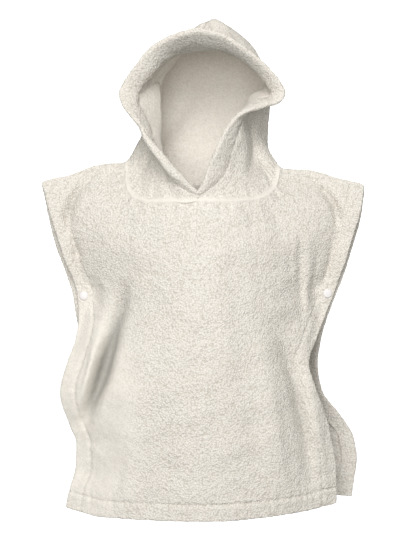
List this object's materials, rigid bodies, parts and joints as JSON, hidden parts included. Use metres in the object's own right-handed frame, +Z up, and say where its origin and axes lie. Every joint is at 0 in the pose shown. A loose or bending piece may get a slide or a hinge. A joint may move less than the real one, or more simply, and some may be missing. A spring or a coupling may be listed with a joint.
{
  "type": "hooded bath poncho",
  "caption": "Child's hooded bath poncho of plain ivory terry towelling, filled out as if worn: open sides closed by a round snap below each armhole.",
  "frame": {"origin": "middle of the neck at the height of the shoulder seams, where the wearer holds the garment up", "axes": "+Z up, the front faces -Y, +X is to the right of somebody who looks at the front"},
  "size_m": [0.4455, 0.1907, 0.68],
  "materials": {
    "terry_cloth": "matte cotton terry loops",
    "snap_plastic": "satin moulded plastic"
  },
  "bodies": {
    "root": {"front_panel": "terry_cloth", "back_panel": "terry_cloth", "hood_left": "terry_cloth", "hood_right": "terry_cloth", "snap_cap_left": "snap_plastic", "snap_back_cap_left": "snap_plastic", "snap_socket_left": "snap_plastic", "snap_stud_left": "snap_plastic", "snap_cap_right": "snap_plastic", "snap_back_cap_right": "snap_plastic", "snap_socket_right": "snap_plastic", "snap_stud_right": "snap_plastic"}
  },
  "joints": []
}
